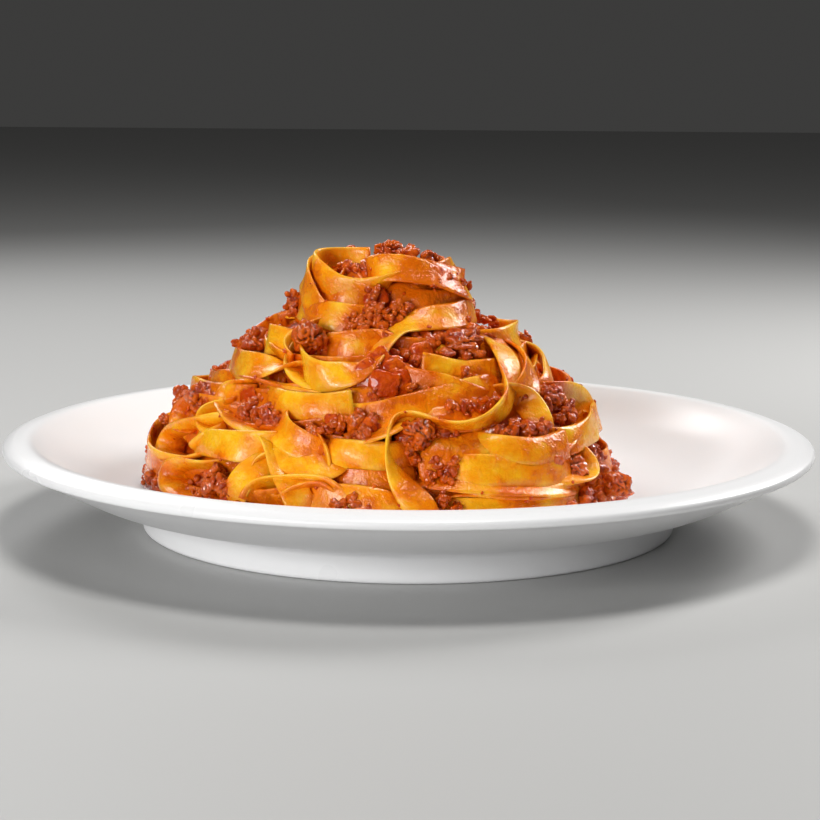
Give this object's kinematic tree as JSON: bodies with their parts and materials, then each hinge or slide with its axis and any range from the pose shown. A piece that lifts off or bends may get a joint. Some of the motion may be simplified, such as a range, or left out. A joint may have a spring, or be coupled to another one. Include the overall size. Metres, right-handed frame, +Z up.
{
  "type": "tagliatelle bolognese on a plate",
  "caption": "Tagliatelle with meat sauce heaped into a tall twisted mound in the middle of a round white porcelain plate with a foot ring.",
  "frame": {"origin": "middle of the plate's foot ring, on the surface that the plate stands on", "axes": "+Z up along the plate's axis; -Y towards the side of the heap that faces the viewer; +X to that viewer's right"},
  "size_m": [0.25, 0.25, 0.0885],
  "materials": {
    "porcelain": "white glazed porcelain, glossy",
    "noodle": "cooked egg pasta, satin and moist, coated with sauce in places",
    "meat": "minced meat in tomato sauce, wet and rough",
    "sauce": "oily tomato and meat sauce, glossy"
  },
  "bodies": {
    "root": {"plate": "porcelain", "noodles": "noodle", "meat_clump_01": "meat", "meat_clump_02": "meat", "meat_clump_03": "meat", "meat_clump_04": "meat", "meat_clump_05": "meat", "meat_clump_06": "meat", "meat_clump_07": "meat", "meat_clump_08": "meat", "meat_clump_09": "meat", "meat_clump_10": "meat"}
  },
  "joints": []
}
